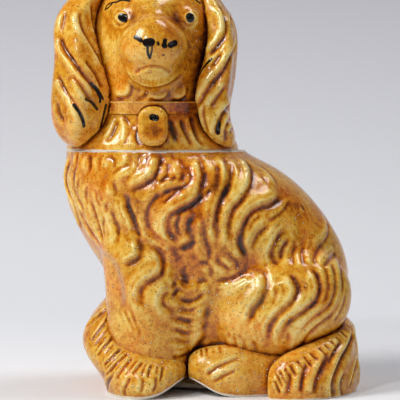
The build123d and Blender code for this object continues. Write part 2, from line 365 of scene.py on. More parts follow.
def raiseArch(piece):  # underside that lifts off the table between the fore and hind feet
    pts, arch = getPoints(piece), archLook
    lift = arch["height"] * np.exp(-((pts[:, 0] - arch["x"]) / arch["reach"]) ** 2)
    lift *= np.clip((np.abs(pts[:, 1]) - arch["keel"]) / arch["side"], 0, 1)
    pts[:, 2] += lift * np.clip(1 - pts[:, 2] / arch["top"], 0, 1)
    setPoints(piece, pts)


def tidySkin(piece, rounds=1):
    setPoints(piece, relax(getPoints(piece), getEdges(piece), rounds))


endDepth = 0.7  # how deep a flat end is taken to be, in millimetres


def dragEnd(piece, height, reach):  # draws a flat end out, so that softening leaves the real edge alone
    pts = getPoints(piece)
    end = (pts[:, 2] - height) * np.sign(reach) > -endDepth
    pts[end, 2] += reach
    setPoints(piece, pts)


def cutFlat(piece, height, keepAbove):  # crisp level edge
    onlyPick(piece)
    bpy.ops.object.mode_set(mode="EDIT")
    bpy.ops.mesh.select_all(action="SELECT")
    bpy.ops.mesh.bisect(plane_co=(0, 0, height * mm), plane_no=(0, 0, 1), use_fill=True,
                        clear_inner=keepAbove, clear_outer=not keepAbove)
    bpy.ops.object.mode_set(mode="OBJECT")


def setMark(piece, name, values):
    mark = piece.data.attributes.get(name) or piece.data.attributes.new(name, "FLOAT", "POINT")
    mark.data.foreach_set("value", np.asarray(values, np.float32))


def getMark(piece, name):
    return pull(piece.data.attributes[name].data, "value", 1)[:, 0]


poolLook = {
    "mean": 0.41, "hollows": [(6, 0.25, 0.24), (45, 1.0, 0.16)],  # rounds of smoothing, depth, amount
    "relief": (1.5, 0.14), "brown": 0.66, "ease": 0.7,
}


def markGlaze(piece, relief=None):  # 0 where the glaze drains thin, 1 where it gathers thick
    pts, normals, pairs = getPoints(piece), getNormals(piece), getEdges(piece)
    poolAndShade = np.full(len(pts), poolLook["mean"])
    for rounds, depth, amount in poolLook["hollows"]:
        poolAndShade += amount * np.tanh(np.einsum("ij,ij->i", relax(pts, pairs, rounds) - pts, normals) / depth)
    if relief is not None:
        height, amount = poolLook["relief"]
        poolAndShade -= amount * np.clip(relief / height, -1, 1)
    brown = poolLook["brown"]
    poolAndShade = np.where(poolAndShade > brown, brown + poolLook["ease"] * (poolAndShade - brown), poolAndShade)  # furrows stay brown
    setMark(piece, "poolAndShade", relax(poolAndShade[:, None], pairs, 1)[:, 0])


def spotSum(pts, spots):  # place, radius, amount
    total = np.zeros(len(pts))
    for place, radius, amount in spots:
        total += amount * softSpot(pts, place, radius)
    return total


def addPoolAndShade(piece, spots):  # spots of thicker (+) and thinner (-) glaze, and also of painted shade (+) and painted light (-) where a spot stands for how light falls
    setMark(piece, "poolAndShade", getMark(piece, "poolAndShade") + spotSum(getPoints(piece), spots))


def markBlistersAndGlints(piece, base, spots=()):  # where the glaze has boiled into small blisters, which bump the surface and carry painted glints
    setMark(piece, "blistersAndGlints", base + spotSum(getPoints(piece), spots))


joinMargin = 4.0  # clay further off than this is no neighbour, in millimetres


def markJoinsAndShade(pieces, reach, strength):  # glaze runs into the joins between luted pieces; the darkening there is also painted shade where the pieces shade one another
    clouds = {piece: getPoints(piece) for piece in pieces}
    for piece in pieces:
        pts = clouds[piece]
        others = np.vstack([clouds[other] for other in pieces if other is not piece])
        low, high = pts.min(0) - joinMargin, pts.max(0) + joinMargin
        others = others[np.all((others > low) & (others < high), axis=1)]
        cloud = KDTree(len(others))
        for k, p in enumerate(others):
            cloud.insert(p, k)
        cloud.balance()
        low, high = others.min(0) - joinMargin, others.max(0) + joinMargin
        near = np.all((pts > low) & (pts < high), axis=1)
        poolAndShade = getMark(piece, "poolAndShade")
        gap = np.array([cloud.find(p)[2] for p in pts[near]])
        poolAndShade[near] += strength * np.exp(-(gap / reach) ** 2)
        setMark(piece, "poolAndShade", poolAndShade)


paintEdge = 2.0  # how far the enamel mark reaches past a stroke, in millimetres


def markPaint(piece, strokes=()):  # black enamel: inside of a stroke is positive, in millimetres
    pts, normals = getPoints(piece), getNormals(piece)
    paint = np.full(len(pts), -paintEdge)
    for path, halfWidth in strokes:
        index, dist = pathReach(pts, normals, path, halfWidth + paintEdge)[:2]
        if len(index):
            paint[index] = np.maximum(paint[index], halfWidth - dist)
    setMark(piece, "enamel", paint)


wipeLook = {"reach": 2.5, "fade": 0.12}


def markWiped(piece, strokes):  # mould seam wiped smooth before glazing, soft at its edges
    pts, normals = getPoints(piece), getNormals(piece)
    wiped = np.zeros(len(pts))
    for path, halfWidth in strokes:
        index, dist, along = pathReach(pts, normals, path, halfWidth * wipeLook["reach"])[:3]
        if len(index):
            fade = np.clip(np.minimum(along, 1 - along) / wipeLook["fade"], 0, 1)
            wiped[index] = np.maximum(wiped[index], fade * np.exp(-(dist / halfWidth) ** 2))
    setMark(piece, "fettled", wiped)


bareFade = 0.4  # millimetres


def markBare(piece, low, high=999.0):  # unglazed clay under and over these heights
    z = getPoints(piece)[:, 2]
    setMark(piece, "bare", np.clip(np.maximum(low - z, z - high) / bareFade + 0.5, 0, 1))


def sculptLocks(piece, tools, calmHeight=noJoint):
    relief = carve(piece, tools, calmHeight)
    tidySkin(piece)
    markGlaze(piece, relief)


def softenSkin(piece, look):  # pressed pieces run into one another, then a fine skin for the modelling
    voxelSkin(piece, look["blendVoxel"], look["blendRounds"])
    voxelSkin(piece, look["voxel"], look["soften"])


def finishPiece(piece, body, material, slotName, *nodeNames):
    onlyPick(piece)
    bpy.ops.object.shade_smooth()
    bpy.ops.object.mode_set(mode="EDIT")
    bpy.ops.mesh.select_mode(type="EDGE")
    bpy.ops.mesh.select_all(action="DESELECT")
    bpy.ops.mesh.edges_select_sharp(sharpness=math.radians(sharpTurn))
    bpy.ops.mesh.mark_sharp()
    bpy.ops.object.mode_set(mode="OBJECT")
    piece.data.materials.clear()
    piece.data.materials.append(material)
    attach(piece, body)
    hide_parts(*nodeNames)
    print(piece.name, len(piece.data.polygons), "faces")


# body: trunk with forelegs and haunches, one skin over the luted joins
bodyLook = {
    "voxel": 0.99, "blendVoxel": 2.6, "blendRounds": 5, "soften": 6, "fillSoften": 4, "swell": 0.45,
    "rim": 140.0, "spare": 8.0, "levels": (0.02, 139.9, 100), "around": 240,
    "room": (1.0, 128.6, 50), "mouth": (129.3, 139.5), "open": (-3.0, 146.0),
    "bareFoot": 0.6, "bareRim": 0.65, "blistersAndGlints": 0.05, "axis": (13.5, -31.0), "shortComb": 4,
    "deep": lookTool(2.4, 3.4, 13.0, 1.1, 1.8),
    "plain": lookTool(1.6, 2.5, 9.0, 0.75, 1.5),
    "fine": lookTool(0.65, 1.4, 4.5, 0.5, 1.0),
    "comb": lookTool(0.55, 1.1, 3.0, 0.6, 0.9), "combs": {"deep": (2.9, 5.6), "plain": (2.9,), "fine": ()},
}
bodyFill = [  # place, radius, height: shoulder under the joint line and round of the back
    ((-80, 0, 135), 15, 2.0), ((-75, -24, 135), 13, 1.4), ((-75, 24, 135), 13, 1.4),
    ((48, 0, 122), 28, 1.6), ((70, 0, 96), 26, 1.8), ((83, 0, 70), 22, 1.5),
]
legFill = [  # pixel place, radius, height
    (194, 292, 9, 2.6), (195, 306, 9, 3.2), (196, 320, 9, 3.2), (195, 334, 8, 2.4),
]
deepLocks = [  # the proud lock lies to the left of a stroke that runs down
    (158,149, 161,158, 160,168, 156,176, 150,182, 143,186, 136,189, 129,194),
    (176,153, 181,161, 185,170, 184,177, 180,182, 172,185),
    (199,154, 203,166, 205,177, 203,188, 200,198, 194,204, 187,208, 179,212, 172,217, 169,225, 171,233,
     178,241, 182,248),
    (217,158, 219,170, 219,182, 216,192, 212,200),
    (221,154, 227,163, 230,173, 229,184, 226,192, 222,201, 219,212, 218,223, 219,232, 224,241),
    (242,157, 249,164, 253,173, 252,184, 247,194, 241,203, 235,209, 232,217, 230,226, 232,235, 238,242),
    (284,194, 278,201, 270,206, 260,209, 252,214, 247,222, 243,231, 241,241, 244,251, 250,258),
    (290,231, 281,236, 276,244, 273,253, 275,261, 279,268),
    (137,233, 140,243, 141,252, 137,260, 129,264, 122,268),
    (150,243, 158,249, 163,258, 164,267, 161,275, 154,280, 147,284, 142,290, 142,298, 146,305),
    (199,239, 190,245, 183,249, 178,253), (124,190, 127,199, 129,208, 133,217, 137,226, 140,236),
    (258,266, 265,274, 267,284, 265,294, 260,303, 254,311, 252,319, 254,327),
    (288,270, 294,279, 298,289, 296,299, 291,306, 283,313, 276,320, 271,328, 270,337, 273,346),
    (310,266, 318,276, 321,288, 318,299, 310,308, 299,316, 290,322, 285,330, 284,338, 288,345),
    (212,282, 222,280, 233,278, 243,272, 247,264),
    (208,296, 208,308, 206,320, 205,332, 201,343, 196,354, 190,364),
]
plainLocks = [
    (189,264, 184,269, 183,276, 187,282, 191,277), (206,260, 212,268, 211,275, 206,279),
    (216,252, 219,262, 227,268, 230,275), (176,255, 180,262, 179,275, 177,287),
    (199,268, 203,262, 209,265, 209,272), (222,250, 231,256, 237,263, 238,271), (171,300, 176,292, 180,286),
    (79,148, 77,158, 74,168, 72,178, 73,188, 76,198, 79,208, 83,218, 89,229, 96,240),
    (88,149, 90,158, 90,167, 87,177), (90,198, 93,208, 97,220, 101,232, 104,243),
    (109,208, 113,216, 117,226, 118,236, 116,247), (100,174, 99,165, 101,157, 104,150),
    (112,177, 118,169, 126,166, 130,159, 129,150), (131,165, 137,160, 140,150),
    (147,150, 149,159, 147,168, 142,176), (155,150, 156,160, 153,170, 147,177), (113,179, 115,188, 116,198),
    (142,197, 143,208, 142,219), (133,222, 138,231, 141,241),
    (163,192, 154,200, 148,209, 147,219, 150,228, 157,235, 168,242, 176,250),
    (165,158, 169,167, 168,175, 162,181, 155,184), (170,152, 175,160, 178,170, 175,178, 168,183),
    (186,160, 190,170, 192,179, 187,186, 177,189, 167,192, 159,198),
    (184,212, 179,218, 177,227, 181,236, 187,243), (208,160, 211,170, 212,181, 209,191, 205,201),
    (213,162, 215,173, 214,184), (231,160, 233,170, 232,181, 229,193),
    (236,158, 241,168, 243,179, 240,190, 235,199), (226,206, 229,216, 228,227, 230,238),
    (196,214, 190,221, 188,229, 191,238, 196,243), (209,218, 206,228, 206,239, 209,250, 210,261),
    (258,165, 267,170, 274,178, 279,188), (273,224, 265,229, 258,235, 254,243, 251,252),
    (292,237, 285,245, 281,254, 281,263), (300,242, 295,250, 293,259, 296,267),
    (306,244, 303,252, 303,260, 306,267), (316,243, 312,252, 311,262), (326,240, 319,248, 315,257, 315,266),
    (326,219, 329,229, 327,238, 322,245), (336,253, 329,260, 324,268), (137,287, 137,295, 141,302, 147,308),
    (172,246, 175,253, 177,263, 177,273, 175,283, 171,291), (201,238, 205,247, 209,256, 210,266),
    (172,291, 165,295, 163,302, 167,308, 173,308), (182,262, 183,272, 187,279, 184,286),
    (181,253, 178,262, 179,273), (196,283, 203,281, 210,280), (172,292, 180,298, 188,301, 197,299, 206,290),
    (176,303, 184,308, 192,309, 201,305, 208,296), (174,314, 181,319, 189,321, 198,319, 207,310),
    (173,325, 181,331, 189,333, 198,330, 206,321), (172,334, 180,340, 188,341, 196,346),
    (183,346, 188,352, 186,359, 179,362, 171,358), (324,264, 328,275, 329,287, 327,298, 321,308),
    (331,262, 335,273, 336,286, 333,299, 327,309, 316,317, 307,325, 302,334),
    (339,260, 342,274, 343,287, 341,300, 335,312, 324,321, 313,330, 305,340, 300,350),
    (346,290, 344,303, 339,315, 332,324), (290,330, 288,337, 291,344), (234,334, 236,341, 239,349),
    (243,336, 245,343, 249,351), (252,338, 254,345, 258,353), (308,329, 302,338, 299,347, 297,354),
    (262,318, 260,326, 262,335, 265,344),
]
fineLocks = [
    (216,285, 219,294), (221,283, 224,293), (226,282, 229,291), (231,281, 234,289),
    (290,200, 282,212, 268,222), (79,176, 77,191, 82,211, 89,229, 101,246),
    (87,185, 86,197, 92,216, 101,237), (126,152, 128,159, 124,167), (104,162, 110,157, 115,162, 113,170),
    (133,154, 133,162, 126,169), (207,229, 204,239, 208,250, 213,259, 219,267, 217,278), (83,152, 82,162),
    (94,188, 97,198, 100,208), (101,194, 101,203), (108,199, 106,207, 106,214), (69,175, 70,190, 74,205),
    (86,203, 90,215, 96,228), (105,215, 103,226, 105,238), (124,215, 128,224), (135,200, 136,210),
    (121,221, 126,227, 131,230), (124,308, 129,319, 136,333), (130,308, 135,321, 141,335),
    (262,176, 268,184), (228,330, 230,340), (239,333, 241,343), (279,326, 278,336, 281,345),
    (274,286, 276,296, 272,306, 265,313), (305,284, 306,294, 301,303, 293,311), (313,306, 303,314, 294,321),
    (300,205, 306,212), (140,286, 139,293, 142,299), (204,170, 206,182, 203,193),
    (183,190, 172,196, 163,205), (247,178, 243,192), (262,195, 255,203, 244,210),
    (236,216, 235,228, 240,238), (262,214, 253,222, 248,233), (268,236, 262,245, 261,256),
    (310,280, 312,292, 309,303), (327,275, 329,287, 326,298), (281,282, 284,292, 281,303),
    (255,280, 257,290, 253,302), (151,262, 155,268, 150,276), (131,240, 133,250),
    (170,256, 171,268, 169,280), (186,312, 195,314, 203,307), (184,325, 194,326, 203,318),
    (224,170, 225,182, 223,190), (223,214, 223,226, 227,236),
]
fettledStrip = [  # wiped mould seam
    (1.8, 97,249, 105,254, 112,259, 117,267, 120,276, 123,286, 124,296, 122,306),
]
bodyPoolShadeAndLight = [  # pixel place, radius, amount: thicker and thinner glaze, with painted shade on the right of the haunch and painted light on the lit knee
    (219, 190, 7, 0.3), (204, 180, 7, 0.16), (183, 176, 6, 0.12), (130, 206, 6, 0.14), (276, 196, 12, 0.12),
    (262, 300, 8, 0.14), (243, 262, 7, 0.2), (196, 262, 10, 0.14), (232, 245, 7, 0.16), (190, 312, 14, 0.1),
    (225, 285, 12, -0.08), (160, 262, 10, -0.1), (100, 215, 14, -0.08), (163, 212, 7, -0.2),
    (160, 226, 6, -0.14), (186, 186, 8, -0.08), (148, 180, 8, -0.14), (243, 185, 6, -0.12),
    (314, 286, 18, 0.1), (165, 195, 26, 0.17), (190, 225, 16, 0.1), (146, 312, 20, -0.05),
    (300, 326, 9, -0.1), (292, 335, 8, -0.14), (301, 212, 8, 0.14), (322, 226, 6, 0.1),
    (228, 305, 14, -0.14), (243, 330, 10, -0.1), (185, 290, 9, 0.1),
]
bodyBlistersAndGlints = [  # pixel place, radius, amount: where blisters and their painted glints gather
    (230, 296, 13, 0.7), (244, 286, 8, 0.5), (211, 308, 7, 0.5), (302, 226, 12, 0.5), (264, 184, 10, 0.3),
    (160, 270, 16, 0.25), (150, 304, 8, 0.4),
]
chestFront = [  # round the breast, where the camera sees it edge on: bearing, height
    (180,136, 177,122, 182,108, 178,94), (168,136, 171,122, 166,108, 170,92),
    (192,136, 188,122, 194,108, 190,92), (158,136, 161,120, 156,104), (202,136, 198,120, 203,104),
]


def trunkAxis(z):  # from the middle of the foot to the middle of the mouth
    low, high = bodyLook["axis"]
    return low + (high - low) * min(max(z / bodyLook["rim"], 0), 1)


def makeBody():
    look = bodyLook
    halves = ["jar_near_half", "jar_far_half"]
    walls = measuredRings(halves, np.linspace(*look["levels"]), trunkAxis, count=look["around"])
    skin = meshFromRings("dogBody", walls)
    limbs = clayCopy("limbs", ["near_foreleg", "far_foreleg", "near_haunch", "far_haunch"], look["swell"])
    onlyPick(skin, limbs)
    bpy.ops.object.join()
    body = bpy.context.object
    dragEnd(body, look["rim"], look["spare"])
    dragEnd(body, 0.0, -look["spare"])
    softenSkin(body, look)
    swellAt(body, bodyFill)
    swellAt(body, drawnSpots(skinTree(body), legFill), (0, -1, 0))
    farLeg = [(farTwin(np.array(place)), *rest) for place, *rest in drawnSpots(skinTree(body), legFill)]
    swellAt(body, farLeg, (0, 1, 0))
    tidySkin(body, look["fillSoften"])
    tree = skinTree(body)
    tools = []
    for name, strokes in (("deep", deepLocks), ("plain", plainLocks), ("fine", fineLocks)):
        drawn = drawnPaths(tree, strokes)
        combs = [line for path in drawn for line in combed(tree, path, look["combs"][name])]
        combs = [line for line in combs if len(line) > look["shortComb"]]
        for tool, paths in ((look[name], drawn), (look["comb"], combs)):
            tools += [(tool, paths), (otherHand(tool), [farTwin(path) for path in paths])]
    tools.append((look["plain"], [roundPath(tree, flat, 0.0) for flat in chestFront]))
    sculptLocks(body, tools, look["rim"])
    addPoolAndShade(body, drawnSpots(tree, bodyPoolShadeAndLight))
    markBlistersAndGlints(body, look["blistersAndGlints"], drawnSpots(tree, bodyBlistersAndGlints))
    cutFlat(body, look["rim"], False)
    cutFlat(body, 0.0, True)
    raiseArch(body)
    heights = np.concatenate([np.linspace(*look["room"]), look["mouth"]])
    hollowOut(body, measuredRings(halves, heights, trunkAxis, False), *look["open"])
    markPaint(body)
    markWiped(body, brushStrokes(tree, fettledStrip))
    markBare(body, look["bareFoot"], look["rim"] - look["bareRim"])
    return body


dogBody = makeBody()
print("body modelled", len(dogBody.data.vertices))

# feet: feathered forefeet and long hind feet
footLook = {
    "voxel": 0.75, "swell": 0.6, "soften": 6, "spare": 6.0, "blistersAndGlints": 0.42, "bareFore": 1.6, "bareHind": 1.2,
    "comb": lookTool(0.9, 1.1, 3.4, 1.0, 1.0),
    "toe": lookTool(0.9, 1.4, 5.0, 1.0, 1.1),
    "fine": lookTool(0.4, 0.8, 2.2, 0.6, 0.8),
}
forefootComb = [
    (109,306, 101,313, 92,320, 85,328), (111,315, 104,323, 98,331, 91,340),
    (118,331, 110,340, 102,349, 97,356), (126,343, 118,351, 110,359, 103,366),
    (130,351, 122,358, 114,366, 106,376), (133,357, 126,365, 119,374, 116,379), (143,361, 137,369, 132,375),
    (152,364, 149,372, 148,380), (163,368, 162,377, 160,386),
]
forefootToes = [
    (131,376, 127,384, 124,391, 126,398), (142,376, 143,385, 140,395), (113,374, 108,382, 107,390),
    (156,378, 156,387, 152,396),
]
forefootFine = [
    (105,311, 97,318, 90,324), (114,322, 106,331, 99,339, 94,346), (121,337, 112,346, 105,354),
    (128,348, 120,355, 112,362, 105,370), (137,360, 131,368, 125,376), (147,363, 143,371, 141,377),
    (158,367, 156,376),
]
hindComb = [
    (203,344, 201,352, 202,361), (207,343, 206,351, 207,360), (212,341, 212,350), (219,346, 221,354),
    (198,350, 196,358),
]
hindToes = [(241,358, 230,362, 219,368, 211,376, 206,383), (237,370, 226,376, 218,382, 213,388)]
footPools = [(135, 370, 14, -0.08), (160, 380, 8, 0.1), (240, 372, 18, -0.1), (118, 385, 6, -0.06)]


def makeFoot(name, nodeName, groups, bareLow):
    look = footLook
    foot = clayCopy(name, [nodeName], look["swell"])
    dragEnd(foot, 0.0, -look["spare"])
    voxelSkin(foot, look["voxel"], look["soften"])
    tree = skinTree(foot)
    far = nodeName.startswith("far")
    if far:  # drawn on the near side and turned over to the far one
        turned = [Vector(p) for p in farTwin(getPoints(foot))]
        tree = BVHTree.FromPolygons(turned, [tuple(p.vertices) for p in foot.data.polygons])
    tools = [(look[toolName], drawnPaths(tree, strokes)) for toolName, strokes in groups]
    if far:
        tools = [(otherHand(tool), [farTwin(path) for path in paths]) for tool, paths in tools]
    sculptLocks(foot, tools)
    addPoolAndShade(foot, drawnSpots(tree, footPools))
    markBlistersAndGlints(foot, look["blistersAndGlints"])
    cutFlat(foot, 0.0, True)
    markBare(foot, bareLow)
    raiseArch(foot)
    markPaint(foot)
    return foot


foreGroups = [("comb", forefootComb), ("toe", forefootToes), ("fine", forefootFine)]
hindGroups = [("comb", hindComb), ("toe", hindToes)]
footPlan = [
    ("Forefoot", "_forepaw", foreGroups, "bareFore"), ("HindFoot", "_hind_paw", hindGroups, "bareHind"),
]
feet = {}
for name, nodeEnd, groups, bare in footPlan:
    for side in ("near", "far"):
        feet[side + nodeEnd] = makeFoot(side + name, side + nodeEnd, groups, footLook[bare])
print("feet modelled")

# tail: plume laid round the rear
tailLook = {
    "voxel": 0.75, "swell": 0.5, "soften": 6, "spare": 6.0, "axis": (46.0, -16.0),
    "blistersAndGlints": 0.22, "bare": 1.0,
    "deep": lookTool(2.1, 2.5, 9.0, 1.6, 2.0),
    "plain": lookTool(1.4, 2.0, 7.0, 1.1, 1.5),
    "comb": lookTool(1.1, 0.9, 2.8, 1.2, 0.9),
}
tailDeep = [(354,330, 349,346, 342,359, 337,371, 333,384, 334,398), (331,351, 323,366, 317,380, 314,396)]
tailPlain = [
    (346,371, 341,384, 343,398), (357,345, 357,358, 354,373, 349,390), (308,360, 303,376, 300,394),
    (343,340, 334,353, 327,366), (292,368, 289,382, 288,396),
]
tailComb = [
    (276,374, 283,388), (279,371, 287,385), (284,368, 292,381), (289,364, 297,378), (296,360, 306,372),
    (303,356, 313,368), (309,352, 319,362), (318,347, 327,357), (330,340, 337,348), (340,331, 348,339),
    (346,324, 353,332), (274,380, 280,394), (335,336, 342,343), (324,344, 332,352),
]
tailRound = [  # far part, out of the camera's sight: bearing, height
    (-14,40, -4,28, -8,14, -2,2), (4,42, 12,28, 8,14, 14,2), (20,40, 28,26, 24,12, 30,2),
    (36,36, 42,24, 40,10), (50,28, 54,16, 52,4),
]
tailPools = [(322, 365, 13, 0.12), (294, 374, 9, 0.1), (350, 335, 8, 0.1)]


def makeTail():
    look = tailLook
    tail = clayCopy("plumeTail", ["tail"], look["swell"])
    dragEnd(tail, 0.0, -look["spare"])
    voxelSkin(tail, look["voxel"], look["soften"])
    tree = skinTree(tail)
    drawn = [("deep", tailDeep), ("plain", tailPlain), ("comb", tailComb)]
    tools = [(look[name], drawnPaths(tree, strokes)) for name, strokes in drawn]
    tools.append((look["deep"], [roundPath(tree, flat, *look["axis"]) for flat in tailRound]))
    sculptLocks(tail, tools)
    addPoolAndShade(tail, drawnSpots(tree, tailPools))
    markBlistersAndGlints(tail, look["blistersAndGlints"])
    cutFlat(tail, 0.0, True)
    markPaint(tail)
    markBare(tail, look["bare"])
    return tail


plumeTail = makeTail()
print("tail modelled")

# head: skull, muzzle and ruff
headLook = {
    "voxel": 0.85, "blendVoxel": 2.2, "blendRounds": 5, "soften": 5,
    "fillWay": (0, -1, 0.2), "fillSoften": 8, "calmRounds": 30, "spotSoften": 2,
    "axisX": -30.0, "rim": 140.06, "spare": 8.0, "levels": (140.35, 225.0, 70),
    "crown": (225.0, 246.1), "crownRise": (0.05, 1, 24),
    "mouth": (140.6, 147.4), "room": (147.8, 243.0, 40), "open": (137.0, 243.2),
    "bareRim": 0.65, "blistersAndGlints": 0.06,
    "crease": lookTool(0.8, 3.4, 10.0, 0.6, 2.4),
    "jaw": lookTool(0.7, 2.6, 8.0, 0.5, 1.6),
    "lobe": lookTool(1.0, 1.7, 5.5, 0.7, 1.3),
    "mouthLine": lookTool(0.5, 1.1, 3.8, 0.6, 0.8),
    "lid": lookTool(0.45, 1.2, 3.4, 0.5, 1.0),
    "lock": lookTool(1.2, 1.9, 7.0, 0.9, 1.7),
    "fine": lookTool(0.2, 0.7, 2.0, 0.4, 0.7),
}
faceCreases = [(119,42, 121,35, 126,28, 132,23)]
faceCreasesBack = [(189,54, 189,46, 187,38, 183,30, 177,24)]
jawLine = [(184,72, 176,80, 165,86, 152,88.5, 141,86, 131,80, 124,70)]
neckLobes = [
    (131,83, 132,90, 129,96, 122,98.5, 114,98), (169,88, 168.5,95, 163,100, 154,100.5, 148,97),
    (187,85, 187,93, 183,99, 175,100.5, 170,97), (146,89, 146,94, 142,98, 136,98),
]
eyelids = [
    (113,18, 116,23, 122,24.5, 128,20), (183,20, 187,24.5, 193,24, 198,18),
    (113,17, 117,12, 124,11, 130,16), (183,16, 187,11, 194,12, 198,17),
]
mouthLine = [(134,74, 141,69, 152,66, 163,68, 172,74)]
ruffLocks = [
    (120,115, 126,119, 129,128, 128,138, 125,146), (118,118, 115,128, 110,137, 104,143),
    (133,120, 132,132, 136,146), (170,119, 172,131, 177,144), (180,117, 183,128, 188,138, 192,147),
    (190,114, 193,127, 198,139, 206,147), (137,126, 136,138, 140,147),
]
chinFine = [
    (145,78, 145,85), (149,79, 149,87), (153,79, 153,87), (157,79, 156,86), (141,78, 140,84),
    (161,78, 161,84),
]
napeTops = [
    (240, 220, 202, 184, 166), (242, 222, 204, 184, 166), (243, 224, 204, 186, 166),
    (243, 224, 204, 186, 166), (242, 222, 204, 184, 166), (240, 220, 202, 184, 166),
    (238, 218, 200, 182, 164),
]
napeWave = {"first": 46, "apart": 16, "swings": (0, 6, 0, 8, 2, 8), "end": 145}
napeLocks = [(30, 236, 36, 218, 28, 200, 36, 182, 30, 164, 36, 145)]  # round the nape: bearing, height
for k, tops in enumerate(napeTops):
    bearing = napeWave["first"] + napeWave["apart"] * k
    wave = zip(napeWave["swings"], (*tops, napeWave["end"]))
    napeLocks.append([v for swing, height in wave for v in (bearing + swing, height)])
enamelFace = [  # black brush strokes: half width in millimetres, then pixels
    (2.3, 121,16.8, 123,18.2), (1.5, 125,16, 125.5,20), (2.5, 190,16.6, 190.6,18.4),
    (1.4, 135.5,37, 138,38, 140.5,40), (0.8, 140,40, 145,43), (2.4, 146.5,42.5, 151,42),
    (0.8, 147.5,46, 148,54, 150,58), (0.55, 152,46, 151.8,51, 150.5,57), (0.8, 158,42.5, 158.5,44.5),
    (1.3, 165,40.5, 164.5,44), (1.5, 164,45.5, 165,46), (1.8, 170.5,45, 173,44, 175.5,42.8),
    (0.6, 105,10, 107,5, 111,3, 116,2), (0.6, 105,10, 109,7, 112,4), (0.7, 117,2, 122,0, 130,1),
    (0.8, 196,0, 200,3), (0.6, 163,55, 164,55),
]
bridgeFill = [  # pixel place, radius, height
    (152, 10, 13, 3.6), (152, 19, 12, 3.4), (118, 50, 7, 2.0), (120, 61, 7, 2.4), (126, 71, 6, 1.6),
    (190, 52, 7, 2.2), (187, 65, 7, 2.4), (179, 76, 6, 1.5),
]
faceCalm = [  # pixel place, radius, amount
    (118, 46, 8, 1), (119, 58, 8, 1), (124, 70, 8, 1), (132, 80, 6, 0.7), (188, 46, 8, 0.8),
    (187, 58, 8, 1), (182, 70, 8, 1), (173, 80, 6, 0.7),
]
headSpots = [  # pixel place, radius, height
    (121.5, 17.5, 4.2, 1.1), (190, 17.5, 4.2, 1.1), (134, 20, 5, -0.6), (177, 21, 5, -0.9),
    (148, 42, 5, 0.5), (135, 55, 8, 0.8), (170, 55, 8, 0.8), (118, 92, 4.5, 1.6), (127, 92, 4.5, 1.6),
    (153, 95, 4.8, 2.2), (162, 95, 4.8, 2.0), (175, 93, 4.8, 2.2), (183, 92, 4.8, 1.8), (140, 94, 4, -0.6),
    (168.5, 94, 3, -1.0),
]
headPoolShadeAndLight = [  # pixel place, radius, amount: pale rings of the eyeballs, thicker and thinner glaze, painted shade on the right cheek and by the right eye, and painted light on the lit left cheek
    (122, 18.5, 4.0, -0.24), (190, 18.5, 4.0, -0.24), (113, 45, 11, -0.24), (118, 70, 8, -0.1),
    (108, 20, 4, 0.14), (110, 30, 4, 0.1), (176, 20, 5, 0.22), (206, 40, 8, 0.3), (203, 60, 8, 0.3),
    (192, 52, 9, 0.16), (205, 20, 5, 0.2), (172, 35, 5, 0.12), (145, 58, 6, -0.1), (165, 62, 7, -0.12),
    (152, 74, 7, -0.06), (133, 12, 5, 0.08), (180, 100, 8, 0.16), (190, 118, 10, 0.16), (175, 128, 8, 0.12),
    (118, 128, 9, -0.1), (150, 104, 8, 0.08),
]


def makeHead():
    look = headLook
    low, high = look["crown"]
    crown = low + (high - low) * np.sin(np.linspace(*look["crownRise"]) * math.pi / 2)
    heights = np.concatenate([np.linspace(*look["levels"]), crown])
    halves, axisX = ["face_half", "head_back_half"], lambda z: look["axisX"]
    head = meshFromRings("dogHead", measuredRings(halves, heights, axisX))
    dragEnd(head, look["rim"], -look["spare"])
    softenSkin(head, look)
    swellAt(head, drawnSpots(skinTree(head), bridgeFill), look["fillWay"])
    tidySkin(head, look["fillSoften"])
    calmAt(head, drawnSpots(skinTree(head), faceCalm), look["calmRounds"])
    swellAt(head, drawnSpots(skinTree(head), headSpots))
    tidySkin(head, look["spotSoften"])
    tree = skinTree(head)
    drawn = [("crease", faceCreases), ("jaw", jawLine), ("lobe", neckLobes), ("lid", eyelids),
             ("mouthLine", mouthLine), ("lock", ruffLocks), ("fine", chinFine)]
    tools = [(look[name], drawnPaths(tree, strokes)) for name, strokes in drawn]
    tools.append((otherHand(look["crease"]), drawnPaths(tree, faceCreasesBack)))
    tools.append((look["lock"], [roundPath(tree, flat, look["axisX"]) for flat in napeLocks]))
    sculptLocks(head, tools, look["rim"])
    tree = skinTree(head)
    addPoolAndShade(head, drawnSpots(tree, headPoolShadeAndLight))
    markBlistersAndGlints(head, look["blistersAndGlints"])
    cutFlat(head, look["rim"], True)
    heights = np.concatenate([look["mouth"], np.linspace(*look["room"])])
    hollowOut(head, measuredRings(halves, heights, axisX, False), *look["open"])
    markPaint(head, brushStrokes(tree, enamelFace))
    markBare(head, look["rim"] + look["bareRim"])
    return head


dogHead = makeHead()
print("head modelled")

